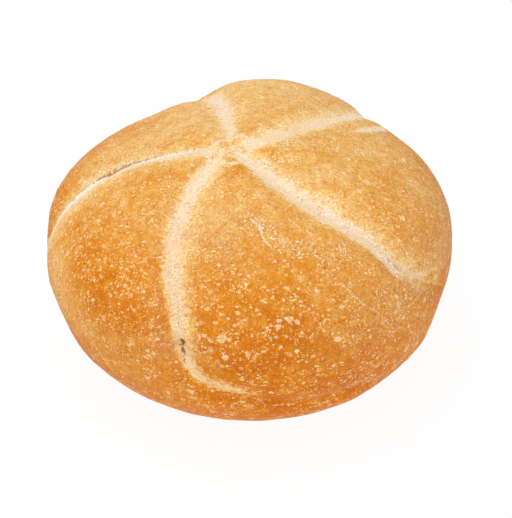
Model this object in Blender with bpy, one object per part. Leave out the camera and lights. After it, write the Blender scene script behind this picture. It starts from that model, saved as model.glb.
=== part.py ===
"""A kaiser roll: one round of white bread dough, pressed from above by a stamp with five curved blades.

A smooth round of dough is described by its profile and by its slightly uneven plan. It is pushed in
along the five grooves that swirl out of the hub, so that the crust between them stands up as petals.
Below the girth each groove turns along the side and fades out under the next petal, as a blade's
mark does once the dough has risen. The roll is uncut, so it is one closed solid.

Lengths are in metres. +Z is up, -Y is the front, and the roll rests on the plane z = 0.
"""

from typing import NamedTuple

import bmesh
import bpy
import numpy as np

MM = 0.001

# The round of dough
WIDTH = 97 * MM  # left to right at the girth
DEPTH = 88 * MM  # front to back at the girth
HEIGHT = 60.4 * MM  # base to crown, before the stamp
GIRTH_LEVEL = 26.8 * MM  # height of the widest level
CROWN_POWER = 1.8  # roundness of the profile at the crown, where 2 is an ellipse
BASE_POWER = 2.7  # the same at the base, where the side is fuller
SAG = 1.14  # the lower profile runs this many girth levels down, and the base cuts it off
BASE_EDGE = 2 * MM  # how softly the side turns into the flat base
CROWN_SHIFT = (-5.9 * MM, -1.2 * MM)  # the crown leans this far from the middle of the base
PLAN_WAVES = ((2, 0.033, 64), (3, -0.009, 3))  # lobes, share of the radius, azimuth in degrees

# Where the dough rose more or less. Each place has its degrees down and azimuth, the share that it adds
# to the distance from the middle, and the degrees over which it spreads.
SWELLINGS = (
    (38, 132, -0.112, 22),
    (40, 81, 0.062, 22),
    (60, 340, 0.073, 30),
    (75, 285, 0.034, 35),
    (88, 216, 0.019, 26),
    (82, 346, -0.025, 14),
    (102, 342, -0.024, 10),
    (102, 203, -0.015, 10),
    (66, 40, -0.023, 10),
    (62, 121, -0.012, 8),
)

# The grid that the crust is drawn on
PETAL_COLUMNS = 20  # from one groove to the next
ROWS = 54  # from the hub to the middle of the base
ROW_CROWDING = 0.3  # how much closer the rows stand at the hub than at the base, from 0 to 1
COLUMN_CROWDING = 0.5  # how much closer the columns stand at a groove than in a petal, from 0 to 1
UPRIGHT = 80  # degrees down to which the columns follow the grooves
ANGLE_STEP = 0.002  # radians between the points that a normal is measured from


class Groove(NamedTuple):
    """A blade's mark. Its route's stops are (degrees down from the hub, azimuth in degrees).

    Azimuths are counted from +X through the back, and on past 360, so that they rise from groove to groove.
    """

    route: tuple
    depth: float  # at its deepest stretch
    near: float  # half width of the slope on the clockwise side
    far: float  # half width of the slope on the other side


GROOVES = {
    "left": Groove(
        ((0, 176), (9, 178), (16, 176), (24, 174), (32, 174), (43, 178.5), (55, 183), (70, 186), (80, 188),
         (90, 197), (94, 209), (103, 221)),
        2.4 * MM, 6.0 * MM, 3.8 * MM,
    ),
    "front_left": Groove(
        ((0, 235), (10, 236), (24, 237), (37, 241), (50, 246), (61, 249), (80, 252), (90, 255), (96, 261),
         (102, 276), (106, 286), (107, 300), (110, 318)),
        2.9 * MM, 3.4 * MM, 6.4 * MM,
    ),
    "front_right": Groove(
        ((0, 303), (5, 306), (11, 311), (18, 313), (27, 316), (35, 318), (47, 322), (62, 325), (72, 328),
         (82, 334), (90, 341)),
        2.8 * MM, 4.2 * MM, 6.2 * MM,
    ),
    "back_right": Groove(
        ((0, 366), (7, 371), (11, 378), (15, 383.5), (22, 388.5), (29, 392.5), (38, 396.8), (60, 407),
         (80, 415), (94, 428), (100, 446)),
        1.0 * MM, 3.4 * MM, 3.8 * MM,
    ),
    "back_left": Groove(
        ((0, 450), (9, 453), (23, 458), (35, 460), (53, 463), (68, 472), (82, 484), (93, 498), (99, 518)),
        2.8 * MM, 3.2 * MM, 5.0 * MM,
    ),
}

# Share of a groove's depth and width at this many degrees down from the hub
DEPTH_STOPS = ((0, 0.75), (8, 0.85), (20, 1.0), (62, 1.0), (80, 0.80), (95, 0.55), (115, 0.40))
WIDTH_STOPS = ((0, 0.70), (12, 0.85), (35, 1.0), (60, 0.9), (80, 0.75), (95, 0.65), (115, 0.60))
ROUTE_FADE = 0.15  # last share of a route, over which the groove runs out
ROUTE_STEPS = 12  # points of a groove between two of its route's stops
VALLEY_POWER = 1.7  # a groove's cross-section, where 2 is a round bell and 1 is a sharp V
BLEND_POWER = 6  # how grooves that meet share their depth: high keeps only the deeper one

CRUST = (0.78, 0.34, 0.07, 1.0)  # golden brown, linear
CRUST_ROUGHNESS = 0.55


def clear_scene():
    for old in list(bpy.data.objects):
        bpy.data.objects.remove(old, do_unlink=True)


def soft_floor(height, softness):
    """The height, kept at or above 0 with a rounded corner of this softness."""
    share = np.clip(0.5 + 0.5 * height / softness, 0, 1)
    return height * share + softness * share * (1 - share)


def swelling(down, azimuth):
    """How far out the dough rose at these angles down and round, where 1 is as far as an even round."""
    reach = np.ones(np.shape(down))
    for middle, bearing, share, spread in SWELLINGS:
        middle, bearing, spread = np.radians((middle, bearing, spread))
        turn = np.cos(down) * np.cos(middle) + np.sin(down) * np.sin(middle) * np.cos(azimuth - bearing)
        away = np.arccos(np.clip(turn, -1, 1))
        reach = reach + share * np.exp(-((away / spread) ** 2))
    return reach


def dough_skin(down, azimuth):
    """Points on the plain round of dough, at these angles down from the crown and round it."""
    power = (CROWN_POWER + BASE_POWER) / 2 + (CROWN_POWER - BASE_POWER) / 2 * np.cos(down)
    radius = np.abs(np.sin(down)) ** (2 / power)
    rise = np.abs(np.cos(down)) ** (2 / power)
    dome = GIRTH_LEVEL + (HEIGHT - GIRTH_LEVEL) * rise
    side = GIRTH_LEVEL * (1 - SAG * rise)
    height = np.where(np.cos(down) >= 0, dome, side)
    for lobes, share, start in PLAN_WAVES:
        radius = radius * (1 + share * np.cos(lobes * (azimuth - np.radians(start))))
    risen = swelling(down, azimuth)
    height = soft_floor(GIRTH_LEVEL + (height - GIRTH_LEVEL) * risen, BASE_EDGE)
    lean = (height / HEIGHT) ** 2
    x = WIDTH / 2 * radius * risen * np.cos(azimuth) + CROWN_SHIFT[0] * lean
    y = DEPTH / 2 * radius * risen * np.sin(azimuth) + CROWN_SHIFT[1] * lean
    return np.stack([x, y, height], axis=-1)


def dough_normal(down, azimuth):
    """Outward unit normals of the plain round of dough."""
    down = np.clip(down, ANGLE_STEP, np.pi - ANGLE_STEP)
    along = dough_skin(down + ANGLE_STEP, azimuth) - dough_skin(down - ANGLE_STEP, azimuth)
    across = dough_skin(down, azimuth + ANGLE_STEP) - dough_skin(down, azimuth - ANGLE_STEP)
    normal = np.cross(along, across)
    return normal / np.linalg.norm(normal, axis=-1, keepdims=True)


def smooth_route(stops):
    """A Catmull-Rom curve through a route's stops, as angles down and round in radians."""
    stops = np.radians(np.array(stops, float))
    ends = np.concatenate([2 * stops[:1] - stops[1:2], stops, 2 * stops[-1:] - stops[-2:-1]])
    share = np.linspace(0, 1, ROUTE_STEPS, endpoint=False)[:, None]
    spans = []
    for a, b, c, d in zip(ends, ends[1:], ends[2:], ends[3:]):
        bend = (2 * a - 5 * b + 4 * c - d) * share**2 + (3 * b - a - 3 * c + d) * share**3
        spans.append(b + 0.5 * ((c - a) * share + bend))
    curve = np.concatenate([*spans, stops[-1:]])
    return np.abs(curve[:, 0]), curve[:, 1]


def pressed(points, groove):
    """How far the groove's blade pushes in the dough at each of these points on its skin."""
    down, azimuth = smooth_route(groove.route)
    line = dough_skin(down, azimuth)
    outward = dough_normal(down, azimuth)
    ahead = np.gradient(line, axis=0)
    leftward = np.cross(outward, ahead)
    gap = points[:, None, :] - line[None, :, :]
    nearest = np.argmin((gap**2).sum(-1), axis=1)
    gap = gap[np.arange(len(points)), nearest]
    distance = np.linalg.norm(gap, axis=1)
    far_side = (gap * leftward[nearest]).sum(-1) > 0

    degrees = np.degrees(down)
    width = np.interp(degrees, *zip(*WIDTH_STOPS))[nearest]
    width = width * np.where(far_side, groove.far, groove.near)
    depth = groove.depth * np.interp(degrees, *zip(*DEPTH_STOPS))
    depth = depth * np.clip(np.linspace(1, 0, len(line)) / ROUTE_FADE, 0, 1)
    return depth[nearest] * np.exp(-((distance / width) ** VALLEY_POWER))


def crust_point(down, azimuth):
    """Points on the baked roll: the dough's skin, pushed in where the stamp's blades met it."""
    skin = dough_skin(down, azimuth)
    marks = [pressed(skin, groove) for groove in GROOVES.values()]
    depth = np.sum(np.power(marks, BLEND_POWER), axis=0) ** (1 / BLEND_POWER)
    return skin - dough_normal(down, azimuth) * depth[:, None]


def petal_sphere():
    """A sphere whose columns follow the grooves, and each vertex's angles down from the hub and round it."""
    bm = bmesh.new()
    bmesh.ops.create_uvsphere(bm, u_segments=len(GROOVES) * PETAL_COLUMNS, v_segments=ROWS, radius=1)
    place = np.array([vertex.co for vertex in bm.verts])
    row = np.arctan2(np.hypot(place[:, 0], place[:, 1]), place[:, 2]) / np.pi
    down = np.pi * (row - ROW_CROWDING * row * (1 - row))

    petals_round = np.arctan2(place[:, 1], place[:, 0]) / (2 * np.pi) % 1 * len(GROOVES)
    petal = petals_round.astype(int) % len(GROOVES)
    share = petals_round % 1
    share = share - COLUMN_CROWDING * np.sin(2 * np.pi * share) / (2 * np.pi)

    routes = [smooth_route(groove.route) for groove in GROOVES.values()]
    columns = [np.interp(np.minimum(down, np.radians(UPRIGHT)), *route) for route in routes]
    columns = np.array([*columns, columns[0] + 2 * np.pi])
    vertices = np.arange(len(down))
    azimuth = columns[petal, vertices] * (1 - share) + columns[petal + 1, vertices] * share
    return bm, down, azimuth


def centred_on_base(points):
    """The points, moved so that their box stands centred on the origin."""
    low, high = points.min(axis=0), points.max(axis=0)
    middle = (low + high) / 2
    return points - [middle[0], middle[1], low[2]]


def crust_material():
    material = bpy.data.materials.new("crust")
    material.use_nodes = True
    shader = material.node_tree.nodes["Principled BSDF"]
    shader.inputs["Base Color"].default_value = CRUST
    shader.inputs["Roughness"].default_value = CRUST_ROUGHNESS
    shader.inputs["Metallic"].default_value = 0
    return material


def make_roll():
    bm, down, azimuth = petal_sphere()
    for vertex, place in zip(bm.verts, centred_on_base(crust_point(down, azimuth))):
        vertex.co = place
    bmesh.ops.triangulate(bm, faces=bm.faces[:], quad_method="SHORT_EDGE")
    bmesh.ops.recalc_face_normals(bm, faces=bm.faces[:])
    mesh = bpy.data.meshes.new("roll")
    bm.to_mesh(mesh)
    bm.free()
    mesh.shade_smooth()
    mesh.materials.append(crust_material())
    roll = bpy.data.objects.new("roll", mesh)
    bpy.context.scene.collection.objects.link(roll)
    return roll


def main():
    clear_scene()
    make_roll()


main()
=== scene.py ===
# %% [markdown]
# # A kaiser roll
# This lesson dresses a plain solid of a kaiser roll, so that it looks like the real thing: a round of white
# bread with a thin golden crust and five pale grooves that swirl out of its crown. All lengths below are in
# metres, and MM turns millimetres into metres.

import math
from typing import NamedTuple

import bmesh
import bpy
import numpy as np
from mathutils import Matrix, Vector, noise


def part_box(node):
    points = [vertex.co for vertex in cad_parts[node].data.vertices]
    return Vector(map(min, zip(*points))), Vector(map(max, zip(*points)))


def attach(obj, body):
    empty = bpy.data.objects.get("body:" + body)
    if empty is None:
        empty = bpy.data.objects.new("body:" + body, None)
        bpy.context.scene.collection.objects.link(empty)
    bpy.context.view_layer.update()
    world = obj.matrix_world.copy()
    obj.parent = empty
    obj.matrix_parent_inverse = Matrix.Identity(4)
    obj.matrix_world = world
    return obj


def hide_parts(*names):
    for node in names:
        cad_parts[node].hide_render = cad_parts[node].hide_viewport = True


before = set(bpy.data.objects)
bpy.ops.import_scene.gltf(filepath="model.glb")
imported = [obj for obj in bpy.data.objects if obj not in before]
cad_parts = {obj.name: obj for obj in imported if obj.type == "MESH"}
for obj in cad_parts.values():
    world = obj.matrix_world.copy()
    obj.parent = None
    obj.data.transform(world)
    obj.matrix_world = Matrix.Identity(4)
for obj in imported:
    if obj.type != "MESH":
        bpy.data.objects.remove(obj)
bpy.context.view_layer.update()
MM = 0.001
solid_low, solid_high = (np.array(corner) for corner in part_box("roll"))
print("solid, mm:", ((solid_high - solid_low) / MM).round(1))

# %% [markdown]
# ## The round of dough
# Before the stamp comes down on it, the roll is a smooth round of dough. It could be sculpted, but a formula is
# exact and can be read: a profile somewhere between an ellipse and a box is swept round, its radius waves a
# little, the crown leans to one side, and a few places rose more than others. Every point is found from two
# angles: how far down from the crown, and how far round.

# %% The dough's sizes
WIDTH = 97 * MM
DEPTH = 88 * MM
HEIGHT = 60.4 * MM
GIRTH_LEVEL = 26.8 * MM
CROWN_POWER = 1.8  # of the profile: 2 is an ellipse, and more is boxier
BASE_POWER = 2.7
SAG = 1.14  # the curve under the girth aims this much lower than the table, which then cuts it flat
BASE_EDGE = 2 * MM
CROWN_SHIFT = (-5.9 * MM, -1.2 * MM)
PLAN_WAVES = ((2, 0.033, 64), (3, -0.009, 3))  # number of lobes, share of the radius, azimuth
SWELLINGS = (  # degrees down, azimuth, share of the size and spread in degrees
    (38, 132, -0.112, 22),
    (40, 81, 0.062, 22),
    (60, 340, 0.073, 30),
    (75, 285, 0.034, 35),
    (88, 216, 0.019, 26),
    (82, 346, -0.025, 14),
    (102, 342, -0.024, 10),
    (102, 203, -0.015, 10),
    (66, 40, -0.023, 10),
    (62, 121, -0.012, 8),
)
ANGLE_STEP = 0.002


# %% The dough's skin
def angle_between(down, azimuth, middle, bearing):
    """The angle on a sphere from each point to one place, all in radians."""
    turn = np.cos(down) * np.cos(middle) + np.sin(down) * np.sin(middle) * np.cos(azimuth - bearing)
    return np.arccos(np.clip(turn, -1, 1))


def patches(down, azimuth, places):
    """The sum of soft round patches: degrees down, azimuth, amount and spread in degrees for each."""
    total = np.zeros(np.shape(down))
    for middle, bearing, amount, spread in places:
        away = angle_between(down, azimuth, math.radians(middle), math.radians(bearing))
        total = total + amount * np.exp(-((away / math.radians(spread)) ** 2))
    return total


def soft_floor(height, softness):
    """The height, kept from falling below 0, with a soft bend there."""
    share = np.clip(0.5 + 0.5 * height / softness, 0, 1)
    return height * share + softness * share * (1 - share)


def dough_skin(down, azimuth):
    """The smooth dough's points, from angles down from the crown and round it."""
    power = (CROWN_POWER + BASE_POWER) / 2 + (CROWN_POWER - BASE_POWER) / 2 * np.cos(down)
    radius = np.abs(np.sin(down)) ** (2 / power)
    rise = np.abs(np.cos(down)) ** (2 / power)
    dome = GIRTH_LEVEL + (HEIGHT - GIRTH_LEVEL) * rise
    side = GIRTH_LEVEL * (1 - SAG * rise)
    height = np.where(np.cos(down) >= 0, dome, side)
    for lobes, share, start in PLAN_WAVES:
        radius = radius * (1 + share * np.cos(lobes * (azimuth - math.radians(start))))
    risen = 1 + patches(down, azimuth, SWELLINGS)
    height = soft_floor(GIRTH_LEVEL + (height - GIRTH_LEVEL) * risen, BASE_EDGE)
    lean = (height / HEIGHT) ** 2
    x = WIDTH / 2 * radius * risen * np.cos(azimuth) + CROWN_SHIFT[0] * lean
    y = DEPTH / 2 * radius * risen * np.sin(azimuth) + CROWN_SHIFT[1] * lean
    return np.stack([x, y, height], axis=-1)


def dough_normal(down, azimuth):
    """Which way the dough's skin faces, from two short steps on it."""
    down = np.clip(down, ANGLE_STEP, np.pi - ANGLE_STEP)
    along = dough_skin(down + ANGLE_STEP, azimuth) - dough_skin(down - ANGLE_STEP, azimuth)
    across = dough_skin(down, azimuth + ANGLE_STEP) - dough_skin(down, azimuth - ANGLE_STEP)
    normal = np.cross(along, across)
    return normal / np.linalg.norm(normal, axis=-1, keepdims=True)


# %% [markdown]
# ## A fine grid to draw the crust on
# A sphere made of rings has a crowded pole, just where this roll has its finest detail. A cube that is cut into
# a fine grid and blown up has no such point, so its quads stay nearly even all over. The grid is drawn towards
# the crown a little, because the flat base needs fewer faces.

# %% Blow up a cube
CELLS = 124
CROWN_CROWDING = 0.22


def blown_up_cube(cells):
    """A cube's fine grid, and the angles down from the crown and round it that each vertex goes to."""
    grid = bmesh.new()
    bmesh.ops.create_cube(grid, size=2)
    bmesh.ops.subdivide_edges(grid, edges=grid.edges[:], cuts=cells - 1, use_grid_fill=True)
    place = np.array([vertex.co for vertex in grid.verts])
    ball = np.tan(place * np.pi / 4)
    row = np.arctan2(np.hypot(ball[:, 0], ball[:, 1]), ball[:, 2]) / np.pi
    down = np.pi * (row - CROWN_CROWDING * row * (1 - row))
    return grid, down, np.arctan2(ball[:, 1], ball[:, 0])


grid, down, azimuth = blown_up_cube(CELLS)
skin = dough_skin(down, azimuth)
outward = dough_normal(down, azimuth)
print("grid:", len(grid.faces), "quads")

# %% [markdown]
# ## The stamp's grooves
# Each blade of the stamp leaves a groove. Its route is a smooth curve through a few stops, given as angles on
# the dough. For every vertex we look for the nearest point of the route. That tells us three things: how far
# off it is, on which side, and how far along. The groove's depth, its pale floor and its yellow shoulder all
# follow from those three, which is why they always line up.


# %% The routes
class Groove(NamedTuple):
    """A blade's mark. Its stops start with degrees down. Azimuths run on past 360. The rest is millimetres."""

    route: tuple  # degrees down and azimuth
    depth: float
    near: float  # half width of the slope on the clockwise side
    far: float  # half width of the slope on the other side
    pale: tuple  # half width of the pale floor, below zero where it fades out
    near_blur: float  # how softly the pale floor ends
    far_blur: float
    near_glow: tuple  # how far the yellow shoulder reaches
    far_glow: tuple
    lean: tuple = ((0, 0),)  # how far the pale floor's middle lies on the far side of the route


GROOVES = {
    "left": Groove(
        route=((0, 176), (9, 178), (16, 176), (24, 174), (32, 174), (43, 178.5), (55, 183), (70, 186),
               (80, 188), (90, 197), (94, 209), (103, 221)),
        depth=2.4 * MM,
        near=6.0 * MM,
        far=3.8 * MM,
        pale=((0, -0.4), (4, 0.2), (8, 1.5), (20, 2.6), (32, 3.0), (45, 3.0), (65, 2.6), (80, 2.4), (89, 2.0),
              (96, -0.6)),
        near_blur=1.6 * MM,
        far_blur=1.1 * MM,
        near_glow=((0, 0.5), (10, 3.0), (35, 5.5), (50, 4.2), (85, 2.5), (100, 0.5)),
        far_glow=((0, 0.5), (10, 4.0), (30, 5.0), (50, 6.5), (70, 6.0), (85, 4.0), (100, 0.5)),
        lean=((0, 0), (8, 1.7), (12, 2.1), (20, 2.3), (30, 2.0), (50, 2.2), (65, 2.4), (75, 2.6), (85, 2.4),
              (95, 0.8)),
    ),
    "front_left": Groove(
        route=((0, 235), (10, 236), (24, 237), (37, 241), (50, 246), (61, 249), (80, 252), (90, 255), (96, 261),
               (102, 276), (106, 286), (107, 300), (110, 318)),
        depth=2.9 * MM,
        near=3.4 * MM,
        far=6.4 * MM,
        pale=((0, -0.6), (4, -0.2), (8, 1.2), (18, 1.6), (35, 1.9), (50, 1.9), (62, 1.7), (72, 1.4), (82, 0.9),
              (90, 0.3), (94, -0.4), (98, -0.9), (110, -1.0)),
        near_blur=0.9 * MM,
        far_blur=1.2 * MM,
        near_glow=((0, 0.5), (10, 1.5), (40, 1.7), (58, 1.4), (80, 1.6), (88, 1.4), (96, 0.6), (110, 0.1)),
        far_glow=((0, 0.5), (10, 4.5), (30, 6.0), (45, 6.0), (58, 3.6), (68, 4.2), (80, 4.0), (90, 1.6),
                  (98, 1.0), (110, 0.1)),
        lean=((0, 0), (25, 0.2), (40, 0.5), (55, 0.5), (67, 1.0), (78, 0.8), (90, 0)),
    ),
    "front_right": Groove(
        route=((0, 303), (5, 306), (11, 311), (18, 313), (27, 316), (35, 318), (47, 322), (62, 325), (72, 328),
               (82, 334), (90, 341)),
        depth=2.8 * MM,
        near=4.2 * MM,
        far=6.2 * MM,
        pale=((0, -0.4), (4, 0.5), (8, 1.5), (20, 2.1), (35, 2.4), (46, 1.9), (54, 1.2), (60, 0.9), (66, 0.7),
              (71, 0.3), (78, -0.4), (90, -0.9)),
        near_blur=1.0 * MM,
        far_blur=1.4 * MM,
        near_glow=((0, 0.5), (10, 2.0), (30, 2.6), (62, 2.2), (90, 1.0)),
        far_glow=((0, 0.5), (10, 4.0), (35, 5.5), (55, 5.0), (68, 4.5), (90, 2.0)),
        lean=((0, 0), (20, -0.4), (35, -0.5), (60, -0.4), (75, 0)),
    ),
    "back_right": Groove(
        route=((0, 366), (7, 371), (11, 378), (15, 383.5), (22, 388.5), (29, 392.5), (38, 396.8), (60, 407),
               (80, 415), (94, 428), (100, 446)),
        depth=1.0 * MM,
        near=3.4 * MM,
        far=3.8 * MM,
        pale=((0, -0.4), (4, 0.4), (7, 1.4), (14, 1.8), (22, 1.7), (30, 1.4), (42, 1.0), (60, 0.8), (84, 0.2),
              (92, -0.4), (100, -1.2)),
        near_blur=1.0 * MM,
        far_blur=1.3 * MM,
        near_glow=((0, 0.5), (10, 2.0), (40, 2.0), (90, 1.5)),
        far_glow=((0, 0.5), (10, 3.5), (25, 4.6), (50, 4.5), (90, 2.0)),
        lean=((0, 0), (8, -0.8), (14, -0.8), (22, -0.2), (30, 0)),
    ),
    "back_left": Groove(
        route=((0, 450), (9, 453), (23, 458), (35, 460), (53, 463), (68, 472), (82, 484), (93, 498), (99, 518)),
        depth=2.8 * MM,
        near=3.2 * MM,
        far=5.0 * MM,
        pale=((0, -0.4), (4, 0.2), (8, 1.2), (20, 1.6), (36, 1.8), (52, 1.6), (70, 1.3), (86, 0.5), (94, -0.3),
              (99, -1.2)),
        near_blur=1.0 * MM,
        far_blur=1.3 * MM,
        near_glow=((0, 0.5), (10, 2.0), (40, 2.6), (90, 1.5)),
        far_glow=((0, 0.5), (10, 2.5), (40, 3.5), (90, 2.0)),
    ),
}
DEPTH_STOPS = ((0, 0.75), (8, 0.85), (20, 1.0), (62, 1.0), (80, 0.80), (95, 0.55), (115, 0.40))  # shares
WIDTH_STOPS = ((0, 0.70), (12, 0.85), (35, 1.0), (60, 0.9), (80, 0.75), (95, 0.65), (115, 0.60))
ROUTE_FADE = 0.15  # the last share of a route, where its groove runs out
ROUTE_STEPS = 12  # between two stops
VALLEY_POWER = 1.7  # of the groove's cross-section: more has a flatter floor and steeper slopes
BLEND_POWER = 6  # how crisply grooves join at the hub
SHOULDER_LIFE = 1.5  # the shoulder is gone where the pale floor's half width is this far below zero
print("grooves:", ", ".join(GROOVES))


# %% Distance from a route
def smooth_route(stops):
    """A Catmull-Rom curve through the stops, as angles down and round in radians."""
    stops = np.radians(np.array(stops, float))
    ends = np.concatenate([2 * stops[:1] - stops[1:2], stops, 2 * stops[-1:] - stops[-2:-1]])
    share = np.linspace(0, 1, ROUTE_STEPS, endpoint=False)[:, None]
    spans = []
    for a, b, c, d in zip(ends, ends[1:], ends[2:], ends[3:]):
        bend = (2 * a - 5 * b + 4 * c - d) * share**2 + (3 * b - a - 3 * c + d) * share**3
        spans.append(b + 0.5 * ((c - a) * share + bend))
    curve = np.concatenate([*spans, stops[-1:]])
    return np.abs(curve[:, 0]), curve[:, 1]


def beside_route(points, route):
    """For each point: distance from the route, positive on its left, then degrees down and share of the way."""
    route_down, route_azimuth = smooth_route(route)
    line = dough_skin(route_down, route_azimuth)
    ahead = np.gradient(line, axis=0)
    ahead = ahead / np.linalg.norm(ahead, axis=1, keepdims=True)
    leftward = np.cross(dough_normal(route_down, route_azimuth), ahead)
    nearest = np.argmin((line**2).sum(1) - 2 * points @ line.T, axis=1)
    gap = points - line[nearest]
    onward = (gap * ahead[nearest]).sum(1)
    inside = (nearest > 0) & (nearest < len(line) - 1)
    square = (gap**2).sum(1) - np.where(inside, onward**2, 0)
    side = np.where((gap * leftward[nearest]).sum(1) > 0, 1, -1)
    travelled = np.concatenate([[0], np.cumsum(np.linalg.norm(np.diff(line, axis=0), axis=1))])
    way = travelled[nearest] + np.where(inside, onward, 0)
    degrees = np.degrees(np.interp(way, travelled, route_down))
    return side * np.sqrt(np.maximum(square, 0)), degrees, way / travelled[-1]


def stops_at(degrees, stops):
    """The value between two stops, which are pairs of degrees down and a value."""
    return np.interp(degrees, *zip(*stops))


# %% Press the grooves in
def groove_fields(groove):
    """At each vertex: the groove's depth, and how far inside its pale floor and its yellow shoulder it is."""
    across, degrees, way = beside_route(skin, groove.route)
    left = across > 0
    fade = np.clip((1 - way) / ROUTE_FADE, 0, 1)
    width = stops_at(degrees, WIDTH_STOPS) * np.where(left, groove.far, groove.near)
    depth = groove.depth * stops_at(degrees, DEPTH_STOPS) * fade
    depth = depth * np.exp(-((np.abs(across) / width) ** VALLEY_POWER))
    pale = stops_at(degrees, groove.pale) * MM
    off_floor = np.abs(across - stops_at(degrees, groove.lean) * MM)
    floor = (pale - off_floor) / np.where(left, groove.far_blur, groove.near_blur)
    reach = np.where(left, stops_at(degrees, groove.far_glow), stops_at(degrees, groove.near_glow)) * MM
    shoulder = 1 - np.maximum(off_floor - pale, 0) / reach
    return depth, floor, shoulder * np.clip(SHOULDER_LIFE + pale / MM, 0, 1)


fields = [groove_fields(groove) for groove in GROOVES.values()]
depths, floors, shoulders = (np.array(values) for values in zip(*fields))
groove_depth = np.sum(depths**BLEND_POWER, axis=0) ** (1 / BLEND_POWER)
pale_floor = floors.max(axis=0)
yellow_shoulder = np.clip(shoulders.max(axis=0), 0, 1)
print("deepest groove, mm:", (groove_depth.max() / MM).round(2))
print("share of the vertices on a pale floor:", (pale_floor > 0).mean().round(3))

# %% [markdown]
# ## Tears, seams and folds
# Where the dough was pinched it tore a little as it rose, and thin folds healed into pale seams. They are lines
# too, so the same distance from a route serves them. A tear is dark with a pale lip, a seam is pale, and at the
# hub the ends of the five grooves are tied together by a tangle of short seams.


# %% Tears
class Mark(NamedTuple):
    """A thin line on the crust, whose stops start with degrees down."""

    route: tuple  # degrees down and azimuth
    widths: tuple  # half widths in millimetres, below zero where the line closes
    lip: tuple = ((0, 0),)  # how bright its lip is, which lies on the side that is left of the route


TEARS = (
    Mark(  # along the left groove's pale floor
        ((15, 173.4), (23, 171.4), (32, 172.4), (36, 173.8), (43, 176.9), (55, 181.5), (62, 183), (70, 184.8),
         (80, 187.4)),
        ((12, -0.6), (15, -0.10), (23, -0.04), (29, 0.10), (33, 0.26), (37, 0.46), (42, 0.40), (46, 0.26),
         (49, 0.0), (58, -0.04), (66, -0.25), (72, -0.8)),
        ((10, 0), (18, 0.9), (60, 1.0), (70, 0.7), (80, 0)),
    ),
    Mark(  # two open pits low in the front left groove
        ((58, 249), (62, 250.6), (68, 251.4), (73, 252), (77, 252.2), (83, 252.6), (86, 252.8), (92, 254),
         (96, 258)),
        ((58, -0.5), (62, -0.24), (73, -0.22), (74.6, -0.1), (75.4, 0.66), (77, 0.80), (78.2, 0.54), (79, 0.12),
         (79.7, 0.50), (81.6, 0.44), (82.6, 0.10), (85, 0.06), (86.5, -0.16), (92, -0.24), (96, -0.7)),
    ),
    Mark(  # a row of dots low in the front right groove
        ((67, 324), (63, 323.2), (60, 323), (57, 323), (53, 322.8), (50, 322)),
        ((50, -0.5), (53, -0.06), (57, 0.0), (63, -0.02), (67, -0.5)),
        ((50, 0), (54, 0.6), (63, 0.6), (67, 0)),
    ),
    Mark(  # scattered dots further up the same groove
        ((48, 322.4), (43, 320.6), (35, 318), (27, 316), (18, 313), (12, 311.5)),
        ((12, -0.7), (16, -0.24), (42, -0.24), (48, -0.7)),
    ),
)


# %% Seams and folds
class Fold(NamedTuple):
    """A short pale fold with soft ends."""

    route: tuple  # degrees down and azimuth
    widths: tuple  # half widths in millimetres at degrees down
    blur: float  # how softly it ends, in millimetres


HUB_SEAMS = (  # routes, as degrees down and azimuth
    ((7.6, 183), (5.1, 147), (3.8, 102), (4.4, 78)),
    ((8.3, 214), (4.6, 228), (2.9, 295), (5.7, 343), (6.1, 365)),
    ((4.4, 78), (5.9, 44), (7.4, 16), (11.5, 22)),
    ((6.1, 4.8), (8.5, -43.6), (11.1, -42)),
    ((4.6, 228), (5.5, 264), (7.2, 291), (9.5, 306), (15.5, 312)),
    ((7.9, 255), (9.8, 262), (10.4, 288)),
    ((8.7, 97), (6.5, 92), (4.4, 78)),
)
HUB_SEAM_WIDTH = 0.45
HUB_SEAM_BLUR = 0.7
PALE_FOLDS = (
    Fold(  # the flake beside the back right groove
        ((36.7, 22.8), (40.7, 25.6), (45.2, 28), (51, 31.6), (62, 38.8)),
        ((36.7, 0.1), (44, 0.9), (52, 1.1), (62, 0.4)),
        0.9,
    ),
    Fold(  # the front right groove ends as a fan of two folds
        ((66, 323), (70, 326), (73, 330), (77, 335.6), (81, 340.8), (84, 345)),
        ((66, 0.5), (74, 0.4), (84, -0.9)),
        1.9,
    ),
    Fold(
        ((68, 324), (73, 325), (78, 328), (82, 332)),
        ((68, 0.3), (76, 0.0), (82, -0.8)),
        1.7,
    ),
    Fold(  # the front left groove curls round the foot of the front petal
        ((85, 254), (89.6, 256.8), (91.8, 260.5), (93, 264), (94.4, 267.5), (96, 271), (98, 276)),
        ((85, 0.3), (89.6, 1.3), (93, 1.8), (94.4, 1.3), (96, 0.1), (98, -1.8)),
        2.4,
    ),
)
SEAMS = (
    Mark(  # on the front petal's ridge
        ((30.9, 279.6), (33.9, 282.4), (37.1, 282.4), (40.3, 284.4)),
        ((30, 0.15), (34, 0.38), (40, 0.25)),
    ),
    Mark(  # the crease on its right
        ((49, 298), (55, 300), (57.6, 302), (61, 303), (64, 304), (67.4, 305.6), (71.2, 307.6), (75.5, 309.2),
         (81, 311), (85, 312.5)),
        ((49, -0.05), (60, 0.06), (80, 0.04), (85, -0.1)),
    ),
    Mark(((110, 332), (107, 323), (104.5, 312), (103.5, 304), (102.5, 297)), ((100, 0.04),)),  # near the foot
    Mark(((107, 332), (104.5, 323), (102, 312), (101, 304), (100, 297)), ((99, 0.04),)),
    Mark(((101.7, 271), (104, 275), (105, 279), (107, 284), (110, 291)), ((101, 0.02), (110, 0.0))),
)


# %% Distances from the marks
MARK_REACH = 5.0  # how far a mark is felt, in millimetres


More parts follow.
